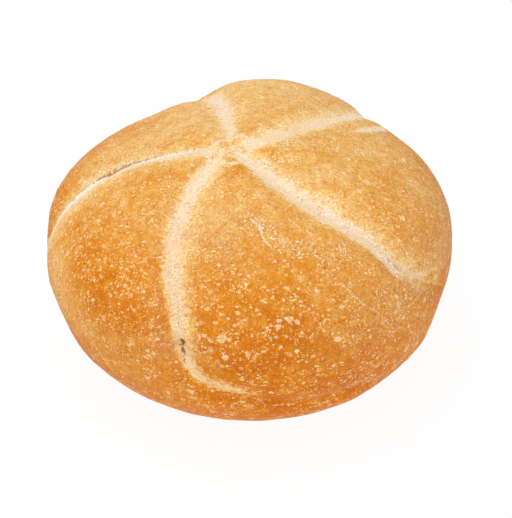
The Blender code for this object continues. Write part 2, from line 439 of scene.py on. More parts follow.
def nearest_mark(marks):
    """For each vertex: how far it is across the nearest of these marks, its half width there, and its lip."""
    across = np.full(len(skin), MARK_REACH)
    width = np.full(len(skin), -1.0)
    lip = np.zeros(len(skin))
    for mark in marks:
        offset, degrees, _ = beside_route(skin, mark.route)
        closer = np.abs(offset / MM) < np.abs(across)
        across = np.where(closer, offset / MM, across)
        width = np.where(closer, stops_at(degrees, mark.widths), width)
        lip = np.where(closer, stops_at(degrees, mark.lip), lip)
    return across, width, lip


def fold_field(route, widths, blur):
    """How far inside a pale fold each vertex is, in the same measure as the grooves' pale floors."""
    offset, degrees, _ = beside_route(skin, route)
    return (stops_at(degrees, widths) - np.abs(offset) / MM) / blur


tear_across, tear_width, tear_lip = nearest_mark(TEARS)
seam_across, seam_width, _ = nearest_mark(SEAMS)
hub_widths = ((0, HUB_SEAM_WIDTH),)
hub_seams = np.max([fold_field(route, hub_widths, HUB_SEAM_BLUR) for route in HUB_SEAMS], axis=0)
folds = np.max([fold_field(*fold) for fold in PALE_FOLDS], axis=0)
pale_floor = np.max([pale_floor, hub_seams, folds], axis=0)
print("tears, seams, folds:", len(TEARS), len(SEAMS), len(HUB_SEAMS) + len(PALE_FOLDS))

# %% [markdown]
# ## Blisters
# Gas that reaches the skin just before it sets leaves small round blisters, from half a millimetre to three
# across. A few large ones are placed one by one where the real roll has them. The others are scattered by a
# seeded random draw, so that they land on the same spots every time the script runs.

# %% Place the blisters
LARGE_BLISTERS = (  # degrees down, azimuth, radius in mm
    (70.2, 264, 1.4), (63.7, 283, 1.05), (65.4, 285, 0.8), (66.1, 279.3, 0.85), (66, 276.4, 0.6),
    (56.7, 293.6, 0.8), (61, 297, 0.6), (60.3, 269, 0.65), (51, 272.4, 0.65), (53.7, 285, 0.6), (57, 283, 0.55),
    (74, 279, 0.65), (76.6, 283, 0.75), (93.8, 275, 0.8), (86.6, 292, 0.7), (78, 264.5, 1.0),
    (75.7, 294.4, 1.1), (34, 358, 0.75), (30.7, 2.8, 0.7), (42, 9.6, 0.75), (52, 11, 1.1), (53, 338, 0.95),
)
SCATTERED_BLISTERS = 700
BLISTER_ZONE = 1.5  # 1 reaches down to the girth, and 2 all over
BLISTER_RADII = (0.34, 0.9)
FEW_LARGE = 2.5  # the higher, the fewer of them are large
BLISTER_TONES = (0.2, 0.9)
STRETCH = 0.45
FAR_OUTSIDE = -3.0
SEED = 7


def blister_field():
    """At each vertex: 1 in a blister's middle, 0 at its rim, below 0 outside, then its radius and its tone."""
    random = np.random.default_rng(SEED)
    placed = np.array(LARGE_BLISTERS)
    scatter_down = np.degrees(np.arccos(1 - random.random(SCATTERED_BLISTERS) * BLISTER_ZONE))
    scatter_azimuth = random.random(SCATTERED_BLISTERS) * 360
    radii = BLISTER_RADII[0] + np.ptp(BLISTER_RADII) * random.random(SCATTERED_BLISTERS) ** FEW_LARGE
    places = np.concatenate([placed, np.stack([scatter_down, scatter_azimuth, radii], axis=1)])
    tones = np.concatenate([np.ones(len(placed)), random.uniform(*BLISTER_TONES, SCATTERED_BLISTERS)])
    directions = random.normal(size=(len(places), 3))
    directions /= np.linalg.norm(directions, axis=1, keepdims=True)
    middles = dough_skin(*np.radians(places[:, :2].T))
    field, radius, tone = np.full(len(skin), FAR_OUTSIDE), np.zeros(len(skin)), np.zeros(len(skin))
    for middle, direction, size, strength in zip(middles, directions, places[:, 2], tones):
        gap = skin - middle
        squeezed = (gap**2).sum(1) + ((1 + STRETCH) ** 2 - 1) * (gap @ direction) ** 2
        inside = 1 - np.sqrt(squeezed) / (size * MM)
        radius = np.where(inside > field, size, radius)
        tone = np.where(inside > field, strength, tone)
        field = np.maximum(field, inside)
    return field, radius, tone


blister, blister_radius, blister_tone = blister_field()
print("blisters:", len(LARGE_BLISTERS) + SCATTERED_BLISTERS)

# %% [markdown]
# ## Small relief
# All this is real shape, so it is moved in the mesh, each vertex along the dough's own normal: low swells from
# gas under the skin, the knots of the hub, pits, tears, seams and blisters. What is finer than the grid is left
# to the material.

# %% Swells, knots and pits
SWELLS = ((16 * MM, 0.30 * MM), (6 * MM, 0.12 * MM), (2.4 * MM, 0.05 * MM))  # wavelength and height
KNOTS = (  # degrees down, azimuth, height and spread in degrees
    (2.5, 60, 0.7 * MM, 3), (4.5, 150, 0.5 * MM, 2.6), (4, 340, 0.5 * MM, 2.6), (5, 262, 0.4 * MM, 2.4),
)
PITS = ((77, 251.8, -0.9 * MM, 1.4), (83, 252.6, -0.5 * MM, 1.0), (41, 178, -0.5 * MM, 2.0))
TEAR_DEPTH = 0.55  # of its width
TEAR_SLOPE = 0.35  # width of its sides in millimetres
SEAM_RISE = 0.15  # in millimetres, as are the next two
SEAM_SLOPE = 0.4
HUB_SEAM_RISE = 0.22
HUB_SEAM_STEEPNESS = 1.5
BLISTER_RISE = 0.16  # of its radius
QUIET_FOOT = 6 * MM  # the relief fades out over this height above the base


def swells(points):
    """Soft uneven swells of the crust at each point, from smooth noise."""
    height = np.zeros(len(points))
    for length, rise in SWELLS:
        height += rise * np.array([noise.noise(Vector(point / length)) for point in points])
    return height


def ridge(across, width):
    """The cross-section of a small ridge, 1 on its line."""
    return np.exp(-((across / width) ** 2))


dome = np.clip(2 * blister - blister**2, 0, 1) * (blister > 0)
relief = swells(skin) + patches(down, azimuth, KNOTS) + patches(down, azimuth, PITS)
open_width = np.maximum(tear_width, 0)
relief -= TEAR_DEPTH * open_width * ridge(tear_across, open_width + TEAR_SLOPE) * MM
relief += SEAM_RISE * ridge(seam_across, SEAM_SLOPE) * (seam_width > 0) * MM
relief += HUB_SEAM_RISE * np.clip(hub_seams * HUB_SEAM_STEEPNESS, 0, 1) * MM
relief += BLISTER_RISE * blister_radius * dome * MM
above_base = np.clip(skin[:, 2] / QUIET_FOOT, 0, 1)
places = skin + outward * (relief * above_base - groove_depth)[:, None]
print("small relief, mm:", (relief.min() / MM).round(2), "to", (relief.max() / MM).round(2))


# %% Fit it in the solid's box
def fitted(points, low, high):
    """The points, stretched by the fraction of a percent that makes their box the solid's box."""
    share = (points - points.min(axis=0)) / np.ptp(points, axis=0)
    return low + share * (high - low)


places = fitted(places, solid_low, solid_high)
for vertex, place in zip(grid.verts, places):
    vertex.co = place
bmesh.ops.recalc_face_normals(grid, faces=grid.faces[:])
mesh = bpy.data.meshes.new("kaiser_roll")
grid.to_mesh(mesh)
grid.free()
mesh.shade_smooth()
roll = bpy.data.objects.new("kaiser_roll", mesh)
bpy.context.scene.collection.objects.link(roll)
print("roll:", len(mesh.polygons) * 2, "triangles")

# %% [markdown]
# ## What the oven did
# The crust is pale where it was folded in and browned where it stood up. Instead of painting, each vertex gets
# a few numbers, called attributes, and the material turns them into colour. How baked the crust is runs from 0,
# raw dough, to 1, deep brown. Distances are stored as smooth ramps, so an edge between two vertices is still
# drawn sharp and in the right place. In a few places the bake, the bloom and the grit also carry painted shade,
# painted light and a painted sheen.

# %% How baked, how dusty, and where shade and light are painted
BAKE_STOPS = ((0, 0.36), (10, 0.38), (20, 0.42), (35, 0.46), (50, 0.57), (65, 0.70), (80, 0.78), (92, 0.81),
              (105, 0.81), (180, 0.8))
BAKE_AND_SHEEN_PATCHES = (  # degrees down, azimuth, amount and spread in degrees, as in all the patches
    (14, 282, 0.16, 6),  # the tips of three petals
    (12, 350, 0.14, 7),
    (12, 60, 0.10, 6),
    (40, 276, 0.03, 11),  # the front petal
    (52, 257, 0.05, 11),
    (45, 272, 0.02, 14),
    (60, 275, 0.07, 14),
    (72, 242, 0.10, 6),
    (76, 275, 0.03, 16),
    (78, 312, -0.08, 18),
    (93, 250, -0.06, 9),
    (94, 297, 0.05, 7),
    (96, 320, -0.06, 8),
    (100, 297, 0.10, 14),
    (25, 200, 0.10, 14),  # the left petal
    (60, 225, 0.06, 20),
    # The next five patches, paler and low on the left petal, paint the sheen where its rim catches the white
    # room, not lighter baking.
    (79, 209, -0.18, 11),
    (71, 202, -0.22, 8),
    (86, 222, -0.13, 9),
    (88, 214, -0.08, 8),
    (91, 234, -0.10, 11),
    (48, 168, -0.15, 9),  # along the left groove
    (64, 187, -0.14, 12),
    (84, 190, -0.06, 10),
    (45, 50, -0.06, 14),  # the back
    (40, 85, -0.16, 26),
    (42, 140, -0.04, 26),
    (52, 140, -0.05, 12),
    (50, 14, -0.12, 14),  # the right petal
    (60, 358, -0.07, 9),
    (55, 350, -0.04, 26),
    (78, 350, -0.04, 22),
    (76, 338, -0.05, 9),
)
FLOOR_BAKE = -0.06
# Three patches on the front left floor, at azimuths 241 to 262, paint the shade in that groove, and the one at
# 318 paints light on the front right floor's lower edge, whose slope faces away from the lamps.
FLOOR_BAKE_LIGHT_AND_SHADE_PATCHES = (
    (38, 241, 0.05, 12), (62, 249, 0.08, 20), (91, 262, 0.14, 12), (62, 326, 0.06, 12), (50, 31, -0.10, 10),
    (22, 30, 0.13, 14), (50, 180, -0.06, 20), (40, 318, -0.08, 14),
)
# The three patches on the front left groove, at azimuths 241 to 251, are painted shade, and the two low on the
# left petal, at 208 and 235, are a painted sheen from the white room.
BLOOM_SHADE_AND_SHEEN_PATCHES = (  # where a dull floury bloom lies on the crust, beside five patches of painted shade and sheen
    (74, 312, 0.45, 18), (66, 330, 0.3, 12), (75, 355, 0.3, 22), (79, 208, 0.45, 10), (90, 235, 0.2, 14),
    (31, 274, 0.35, 5), (38, 264, 0.35, 5), (44, 268, 0.3, 5), (33, 256, 0.3, 5), (73, 330, 0.4, 5),
    (78, 337, 0.3, 5), (62, 332, 0.15, 10), (38, 241, 0.25, 9), (58, 248, 0.3, 9), (78, 251, 0.6, 7),
)
TRAY_BAND = 5 * MM  # the foot browns over this height
RAMP_LIMIT = 4  # how far from a pale floor's edge the ramp is kept

# %% Specks, grit with painted groove shade, and flakes
SPECK_STOPS = ((0, 0.4), (12, 1.0), (30, 1.15), (60, 1.15), (105, 1.0), (140, 0.3))
SPECK_PATCHES = ((62, 285, 0.5, 24), (60, 220, 0.4, 22), (40, 90, -0.25, 30))
GRIT_SHARE = 0.35
# The patches along the front left groove thicken its grit and also paint the shade that lies in that groove.
GRIT_AND_GROOVE_SHADE_PATCHES = (
    (35, 240, 0.35, 12), (60, 249, 0.75, 18), (85, 254, 0.6, 14), (92, 266, 0.6, 12), (55, 323, 0.3, 12),
)
FLAKES = (  # clusters of bright flakes
    (33, 286, 1.0, 3), (39.6, 288.4, 0.8, 3.5), (43.5, 296.4, 1.0, 4), (47.5, 309, 0.8, 3),
    (53, 310.4, 0.7, 2.5), (49.5, 299.6, 0.8, 3), (75, 317.6, 1.2, 3), (17, 357, 1.0, 3), (34.5, 344.4, 0.7, 3),
    (29.4, 339.6, 0.7, 3), (53.7, 358, 0.8, 4), (101, 287, 1.0, 2), (94.5, 291, 1.0, 1.5), (57, 294, 0.8, 2),
    (45, 28, 0.8, 4), (34, 170, 1.1, 2.6), (40, 172.5, 1.3, 2.8), (46, 175.5, 1.3, 2.8), (52, 178.5, 1.3, 2.8),
    (58, 181.5, 1.1, 2.6),
)


def put(values, name):
    """Stores one number per vertex on the roll."""
    attribute = mesh.attributes.new(name, "FLOAT", "POINT")
    attribute.data.foreach_set("value", np.asarray(values, np.float32))


degrees_down = np.degrees(down)
put(stops_at(degrees_down, BAKE_STOPS) + patches(down, azimuth, BAKE_AND_SHEEN_PATCHES), "bake_and_painted_light")
put(stops_at(degrees_down, SPECK_STOPS) + patches(down, azimuth, SPECK_PATCHES), "specks")
put(patches(down, azimuth, FLAKES), "flakes")
put(GRIT_SHARE + patches(down, azimuth, GRIT_AND_GROOVE_SHADE_PATCHES), "grit_and_shade")
put(FLOOR_BAKE + patches(down, azimuth, FLOOR_BAKE_LIGHT_AND_SHADE_PATCHES), "floor_bake_light_and_shade")
put(patches(down, azimuth, BLOOM_SHADE_AND_SHEEN_PATCHES), "bloom_shade_and_sheen")
put(np.clip(pale_floor, -RAMP_LIMIT, RAMP_LIMIT), "pale_floor")
put(yellow_shoulder, "yellow_shoulder")
put(tear_across, "tear_across")
put(tear_width, "tear_width")
put(tear_lip, "tear_lip")
put(seam_across, "seam_across")
put(seam_width, "seam_width")
put(np.clip(blister, -1, 1), "blister")
put(blister_tone, "blister_tone")
put(1 - np.clip(places[:, 2] / TRAY_BAND, 0, 1), "tray")
print("attributes:", len(mesh.attributes))


# %% [markdown]
# ## Building materials from nodes
# A material is a small network of nodes. A few helpers keep the code short: one adds a node and connects it,
# and the others add sums, steps and mixtures.


# %% Node helpers
def add(tree, kind, inputs=None, output=0, **settings):
    """Adds a node, gives it its settings and inputs, and returns one of its outputs."""
    node = tree.nodes.new("ShaderNode" + kind)
    for name, value in settings.items():
        setattr(node, name, value)
    for name, value in (inputs or {}).items():
        if isinstance(value, bpy.types.NodeSocket):
            tree.links.new(value, node.inputs[name])
        else:
            node.inputs[name].default_value = value
    return node.outputs[output]


def math_node(tree, operation, *values, clamp=False):
    """A sum, a product or the like of numbers and outputs."""
    return add(tree, "Math", dict(enumerate(values)), operation=operation, use_clamp=clamp)


def product(tree, *values):
    """All the values multiplied."""
    total = values[0]
    for value in values[1:]:
        total = math_node(tree, "MULTIPLY", total, value)
    return total


def plus(tree, value, amount, share=1.0):
    """The value and a share of the amount."""
    return math_node(tree, "MULTIPLY_ADD", amount, share, value)


def smooth_step(tree, value, low, high):
    """0 below low, 1 above high, and a smooth rise between. The other way round where low is above high."""
    low, high, first, last = (low, high, 0.0, 1.0) if low < high else (high, low, 1.0, 0.0)
    limits = {"Value": value, "From Min": low, "From Max": high, "To Min": first, "To Max": last}
    return add(tree, "MapRange", limits, interpolation_type="SMOOTHSTEP")


def blend(tree, factor, first, second):
    """A number between two others."""
    return add(tree, "MapRange", {"Value": factor, "To Min": first, "To Max": second})


def mix_colours(tree, factor, first, second, blend_type="MIX"):
    """A mixture of two colours. Its sockets are found by number, because several of them share a name."""
    node = tree.nodes.new("ShaderNodeMix")
    node.data_type = "RGBA"
    node.blend_type = blend_type
    for socket, value in zip((node.inputs[0], node.inputs[6], node.inputs[7]), (factor, first, second)):
        if isinstance(value, bpy.types.NodeSocket):
            tree.links.new(value, socket)
        else:
            socket.default_value = value
    return node.outputs[2]


def read(tree, name):
    """One of the numbers stored on the vertices."""
    return add(tree, "Attribute", output="Fac", attribute_name=name)


def ripple(tree, place, size, detail=2.0, roughness=0.6):
    """Smooth noise about zero, from -0.3 to 0.3 or so, whose lumps are this size in metres."""
    inputs = {"Vector": place, "Scale": 1 / size, "Detail": detail, "Roughness": roughness}
    return math_node(tree, "SUBTRACT", add(tree, "TexNoise", inputs), 0.5)


def colour(red, green, blue):
    """A colour given as a screen shows it, from 0 to 255, made linear for the shader."""
    shares = [channel / 255 for channel in (red, green, blue)]
    linear = [((share + 0.055) / 1.055) ** 2.4 if share > 0.04045 else share / 12.92 for share in shares]
    return (*linear, 1)


# %% [markdown]
# ## Specks and pores
# Close up, a crust is covered in tiny pale specks and has pores where steam got out. A Voronoi texture cuts
# space into cells, each with its own centre and its own random number. A disc round the centre whose size comes
# from that random number gives dots of all sizes. Bending the coordinates first makes them ragged. The dots are
# used several times, so they are a group, which is built once and placed like any node. It has a second output
# for the dark rims painted round some of the specks, as the shade at the foot of each small raised bubble.


# %% A group that scatters dots
DOT_EDGE = 0.12  # as a share of the distance between two dots, as are the rim's two ends
RIM_START = -0.16
RIM_END = 0.08
LEAST_SHARE = 0.001


def dots_group():
    """Dots in some of the cells of a pattern, whose share and whose largest size are inputs."""
    group = bpy.data.node_groups.new("scattered_dots", "ShaderNodeTree")
    for name, kind in (("Place", "Vector"), ("Scale", "Float"), ("Share", "Float"), ("Size", "Float")):
        group.interface.new_socket(name, in_out="INPUT", socket_type="NodeSocket" + kind)
    for name in ("Dots", "Rim_shade"):
        group.interface.new_socket(name, in_out="OUTPUT", socket_type="NodeSocketFloat")
    given = group.nodes.new("NodeGroupInput").outputs
    wanted = group.nodes.new("NodeGroupOutput").inputs
    cells = group.nodes.new("ShaderNodeTexVoronoi")
    group.links.new(given["Place"], cells.inputs["Vector"])
    group.links.new(given["Scale"], cells.inputs["Scale"])
    chance = add(group, "SeparateColor", {"Color": cells.outputs["Color"]})
    luck = math_node(group, "SUBTRACT", given["Share"], chance)
    divisor = math_node(group, "MAXIMUM", given["Share"], LEAST_SHARE)
    luck = math_node(group, "DIVIDE", luck, divisor, clamp=True)
    size = product(group, math_node(group, "SQRT", luck), given["Size"])
    inside = math_node(group, "SUBTRACT", size, cells.outputs["Distance"])
    chosen = math_node(group, "GREATER_THAN", luck, 0.0)
    before, after = smooth_step(group, inside, RIM_START, 0.0), smooth_step(group, inside, RIM_END, 0.0)
    group.links.new(smooth_step(group, inside, 0.0, DOT_EDGE), wanted["Dots"])
    group.links.new(product(group, before, after, chosen), wanted["Rim_shade"])
    return group


scattered_dots = dots_group()
print("sockets of the group:", len(scattered_dots.interface.items_tree))


def dots(tree, place, spacing, share, size, output="Dots"):
    """Dots about this far apart, or the painted shade of their dark rims. Their size is a share of that
    distance.
    """
    node = tree.nodes.new("ShaderNodeGroup")
    node.node_tree = scattered_dots
    for name, value in (("Place", place), ("Scale", 1 / spacing), ("Share", share), ("Size", size)):
        if isinstance(value, bpy.types.NodeSocket):
            tree.links.new(value, node.inputs[name])
        else:
            node.inputs[name].default_value = value
    return node.outputs[output]


# %% [markdown]
# ## The crust
# The material works from one number, how baked each spot is. The grooves and their shoulders lower it, and
# noise of several sizes makes it uneven, so every border runs through yellow and gold as on real bread. A
# colour ramp then turns the number into colour. Bloom, specks, blisters, flakes, seams, grit, pores and tears
# are laid over that, one after the other, each with its own mask and its own strength. The dark rims round some
# specks are painted shade, and parts of the bake, the bloom and the grit paint shade, light and sheen.

# %% Crust colours
BAKE_COLOURS = (
    (0.00, colour(249, 226, 193)),
    (0.14, colour(247, 210, 152)),
    (0.30, colour(240, 193, 118)),
    (0.50, colour(229, 163, 77)),
    (0.70, colour(220, 136, 28)),
    (0.90, colour(202, 106, 6)),
)
IVORY = colour(252, 240, 222)
SPECK = colour(255, 214, 152)
FLAKE = colour(255, 230, 196)
PORE = colour(168, 108, 58)
TORN = colour(162, 98, 46)
# The grit's brown, which also paints shade into the front left groove.
GRIT_AND_SHADE_TONE = colour(222, 176, 128)
# The dull tone of flour, which also paints shade in the front left groove and a sheen low on the left petal.
BLOOM_SHADE_AND_SHEEN_TONE = colour(220, 182, 130)
# Painted shade: the dark rims round some of the specks.
SPECK_RIM_SHADE = colour(212, 120, 26)
TRAY_BROWN = colour(198, 108, 24)
SHOULDER_BAKE = 0.16

# %% The noises
MOTTLE_SIZE = 2.9 * MM  # the sizes are those of the lumps, and the others say how much a noise does
MOTTLE = 0.9
FLOOR_MOTTLE = 0.45
LIGHT_SKEW = 1.3  # how much further the mottling goes towards light than towards dark
PATCH_SIZE = 13 * MM
PATCH = 0.28
GRAIN_SIZE = 0.48 * MM
GRAIN = 0.45
RAGGED_SIZE = 1.4 * MM
RAGGED_SHOULDER = 1.2
RAGGED_FLOOR = 3.4
SHOULDER_EDGE = (0.0, 1.15)
FLOOR_EDGE = (-0.7, 0.8)


# %% How baked each spot is
def bake_ramp(tree, bake_and_painted_light):
    """The colour of a crust that is baked this much."""
    ramp = tree.nodes.new("ShaderNodeValToRGB")
    elements = ramp.color_ramp.elements
    for position, shade in BAKE_COLOURS[1:-1]:
        elements.new(position).color = shade
    elements[0].position, elements[0].color = BAKE_COLOURS[0]
    elements[len(elements) - 1].position, elements[len(elements) - 1].color = BAKE_COLOURS[-1]
    tree.links.new(bake_and_painted_light, ramp.inputs["Fac"])
    return ramp.outputs["Color"]


def baked(tree, place):
    """The colour of the bare crust, how far inside a pale floor it is from 0 to 1, and two of the noises."""
    mottle = ripple(tree, place, MOTTLE_SIZE, 3.0, 0.95)
    mottle = plus(tree, mottle, product(tree, mottle, mottle), -LIGHT_SKEW)
    grain = ripple(tree, place, GRAIN_SIZE, 1.0, 0.7)
    ragged = ripple(tree, place, RAGGED_SIZE, 3.0, 0.75)
    bake_and_painted_light = plus(tree, read(tree, "bake_and_painted_light"), ripple(tree, place, PATCH_SIZE, 2.0, 0.5), PATCH)
    shoulder = plus(tree, read(tree, "yellow_shoulder"), ragged, RAGGED_SHOULDER)
    bake_and_painted_light = blend(tree, smooth_step(tree, shoulder, *SHOULDER_EDGE), bake_and_painted_light, SHOULDER_BAKE)
    floor = smooth_step(tree, plus(tree, read(tree, "pale_floor"), ragged, RAGGED_FLOOR), *FLOOR_EDGE)
    # A pale floor's bake also carries painted shade and painted light in a few places.
    bake_and_painted_light = blend(tree, floor, bake_and_painted_light, read(tree, "floor_bake_light_and_shade"))
    strength = blend(tree, floor, MOTTLE, FLOOR_MOTTLE)
    bake_and_painted_light = math_node(tree, "MULTIPLY_ADD", mottle, strength, bake_and_painted_light)
    return bake_ramp(tree, plus(tree, bake_and_painted_light, grain, GRAIN)), floor, mottle, grain


# %% [markdown]
# ## What lies on the crust
# Each helper below takes the colour so far and returns it with one thing more. The order matters, because a
# pale fleck that is laid over a tear would close it.


# %% Specks
class Speck(NamedTuple):
    """Dots of one kind of size."""

    spacing: float
    share: float  # of the spots that may have one
    size: float  # of the spacing
    strength: float  # how much it covers the crust


FINE = Speck(0.55 * MM, 0.85, 0.50, 0.62)
MEDIUM = Speck(1.05 * MM, 0.75, 0.46, 0.62)
COARSE = Speck(2.2 * MM, 0.55, 0.40, 0.35)
SPECK_RIM_SHADE_STRENGTH = 0.5
CLUSTER_SIZE = 5 * MM
CLUSTER_EDGE = (-0.22, 0.16)
BEND_SIZE = 0.8 * MM
BEND = 0.9 * MM
NOISE_MIDDLE = (0.5, 0.5, 0.5)
FLECK_TURN = (0, 0, math.radians(-50))
FLECK_SQUEEZE = (0.6, 1.15, 1.0)


def bent_places(tree, place):
    """The places, pushed about by noise so that round dots come out ragged, and the same drawn out one way."""
    push = add(tree, "TexNoise", {"Vector": place, "Scale": 1 / BEND_SIZE, "Detail": 1.0}, output="Color")
    push = add(tree, "VectorMath", {0: push, 1: NOISE_MIDDLE}, operation="SUBTRACT")
    push = add(tree, "VectorMath", {0: push, "Scale": BEND}, operation="SCALE")
    bent = add(tree, "VectorMath", {0: place, 1: push})
    return bent, add(tree, "Mapping", {"Vector": bent, "Rotation": FLECK_TURN, "Scale": FLECK_SQUEEZE})


def specked(tree, crust, place, bent, drawn_out, bare):
    """The crust with specks of three sizes, and the masks of the two smaller ones."""
    clusters = smooth_step(tree, ripple(tree, place, CLUSTER_SIZE, 2.0, 0.6), *CLUSTER_EDGE)
    density = product(tree, read(tree, "specks"), bare, clusters)

    def mask(speck, where, output="Dots"):
        return dots(tree, where, speck.spacing, product(tree, density, speck.share), speck.size, output)

    fine, medium, coarse = mask(FINE, bent), mask(MEDIUM, drawn_out), mask(COARSE, bent)
    # Dark rims round the medium specks are painted shade at the foot of each small raised bubble.
    rim_shade = mask(MEDIUM, drawn_out, "Rim_shade")
    crust = mix_colours(tree, product(tree, rim_shade, SPECK_RIM_SHADE_STRENGTH), crust, SPECK_RIM_SHADE)
    for speck, spots in ((COARSE, coarse), (MEDIUM, medium), (FINE, fine)):
        crust = mix_colours(tree, product(tree, spots, speck.strength), crust, SPECK)
    return crust, fine, medium


# %% Blisters and flakes
BLISTER_RAGGED = (0.7 * MM, 0.6)  # the noise's size, and how much it does
BLISTER_EDGE = (0.0, 0.3)
BLISTER_RIM = (0.8, 0.3)
BLISTER_STRENGTH = 0.60
BLISTER_RIM_STRENGTH = 0.25
FLAKE_STRENGTH = 0.8
FLAKE_SIZE = 0.55 * MM
FLAKE_EDGE = (0.06, 0.13)
CLUSTERED = (0.25, 0.8)


def blistered(tree, crust, place, bare):
    """The crust with pale blisters, which have brighter rims."""
    size, amount = BLISTER_RAGGED
    inside = plus(tree, read(tree, "blister"), ripple(tree, place, size), amount)
    swollen = product(tree, smooth_step(tree, inside, *BLISTER_EDGE), read(tree, "blister_tone"), bare)
    rim = product(tree, swollen, smooth_step(tree, inside, *BLISTER_RIM))
    crust = mix_colours(tree, product(tree, swollen, BLISTER_STRENGTH), crust, SPECK)
    return mix_colours(tree, product(tree, rim, BLISTER_RIM_STRENGTH), crust, FLAKE)


def flake_mask(tree, bent):
    """Small bright flakes, where they are clustered."""
    flakes = smooth_step(tree, ripple(tree, bent, FLAKE_SIZE, 1.0, 0.6), *FLAKE_EDGE)
    return product(tree, flakes, smooth_step(tree, read(tree, "flakes"), *CLUSTERED))


# %% Tears and seams
LIP_WIDTH = 1.3  # half of it, in millimetres
LIP_BLUR = 0.3  # of its width
TEAR_WANDER = 1.8  # how far noise bends a line, in millimetres for a noise of 1
TEAR_RAGGED = 2.6  # and how much wider it makes it
TEAR_EDGE = (-0.02, 0.14)
SEAM_WANDER = 0.8
SEAM_RAGGED = 0.8
SEAM_EDGE = (-0.12, 0.10)


def tear_masks(tree, place):
    """Where a tear is open, and where its pale lip is."""
    wander = ripple(tree, place, 0.9 * MM, 3.0, 0.75)
    across = plus(tree, read(tree, "tear_across"), wander, TEAR_WANDER)
    ragged = ripple(tree, place, 0.5 * MM, 2.0, 0.7)
    open_width = plus(tree, read(tree, "tear_width"), ragged, TEAR_RAGGED)
    inside = math_node(tree, "SUBTRACT", open_width, math_node(tree, "ABSOLUTE", across))
    torn = smooth_step(tree, inside, *TEAR_EDGE)
    edge = math_node(tree, "MAXIMUM", read(tree, "tear_width"), 0.0)
    lip = math_node(tree, "SUBTRACT", across, math_node(tree, "ADD", edge, LIP_WIDTH))
    outer, inner = LIP_WIDTH * (1 + LIP_BLUR), LIP_WIDTH * (1 - LIP_BLUR)
    lip = smooth_step(tree, math_node(tree, "ABSOLUTE", lip), outer, inner)
    return torn, product(tree, lip, read(tree, "tear_lip"))


def seam_mask(tree, place):
    """Where a seam is."""
    wander = ripple(tree, place, 1.1 * MM, 2.0, 0.7)
    across = plus(tree, read(tree, "seam_across"), wander, SEAM_WANDER)
    width = plus(tree, read(tree, "seam_width"), ripple(tree, place, 0.9 * MM, 1.0, 0.5), SEAM_RAGGED)
    inside = math_node(tree, "SUBTRACT", width, math_node(tree, "ABSOLUTE", across))
    return smooth_step(tree, inside, *SEAM_EDGE)


# %% Bloom, grit, pores and shade
BLOOM_EDGE = (-0.3, 0.25)
GRIT_EDGE = (-0.10, 0.16)
GRIT_AND_SHADE_STRENGTH = 0.75
PORE_SPACING = 1.2 * MM
PORE_SHARES = (0.03, 0.10)  # on the crust, and on a pale floor
PORE_SIZE = 0.20
GRAIN_SHADES = (1.8, 0.9)  # how strongly the grain darkens and lightens the crust, and a pale floor


def with_bloom_shade_and_sheen(tree, crust, place):
    """The crust, dulled by flour in a few places, with painted shade in the front left groove and a painted
    sheen low on the left petal.
    """
    patchy = smooth_step(tree, ripple(tree, place, 1.6 * MM, 3.0, 0.8), *BLOOM_EDGE)
    return mix_colours(tree, product(tree, read(tree, "bloom_shade_and_sheen"), patchy), crust, BLOOM_SHADE_AND_SHEEN_TONE)


def gritty_and_shaded(tree, crust, place, floor):
    """The crust with fine brown grit on the pale floors, laid on thicker in the front left groove as painted
    shade.
    """
    grit_and_shade = smooth_step(tree, ripple(tree, place, 0.26 * MM, 0.0, 0.5), *GRIT_EDGE)
    return mix_colours(tree, product(tree, grit_and_shade, floor, read(tree, "grit_and_shade"), GRIT_AND_SHADE_STRENGTH), crust, GRIT_AND_SHADE_TONE)


def shaded(tree, crust, grain, floor):
    """The crust with its grain. The red varies half as much, so that dark grain is also browner."""
    shade = math_node(tree, "MULTIPLY_ADD", grain, blend(tree, floor, *GRAIN_SHADES), 1.0)
    grey = add(tree, "CombineColor", {"Red": blend(tree, 0.5, 1.0, shade), "Green": shade, "Blue": shade})
    return mix_colours(tree, 1.0, crust, grey, "MULTIPLY")


# %% The crust's material
BARE_SHARE = 0.9  # how much a pale floor keeps specks and blisters off
SEAM_STRENGTH = 0.6
PORE_STRENGTH = 0.65
LIP_STRENGTH = 0.9
TORN_STRENGTHS = (0.95, 0.62)  # without a lip, and with one
TRAY_STRENGTH = 0.8
MOTTLE_BUMP = 0.30
BUMP_STRENGTH = 0.8
ROUGHNESS = 0.5
SPECULAR = 0.07


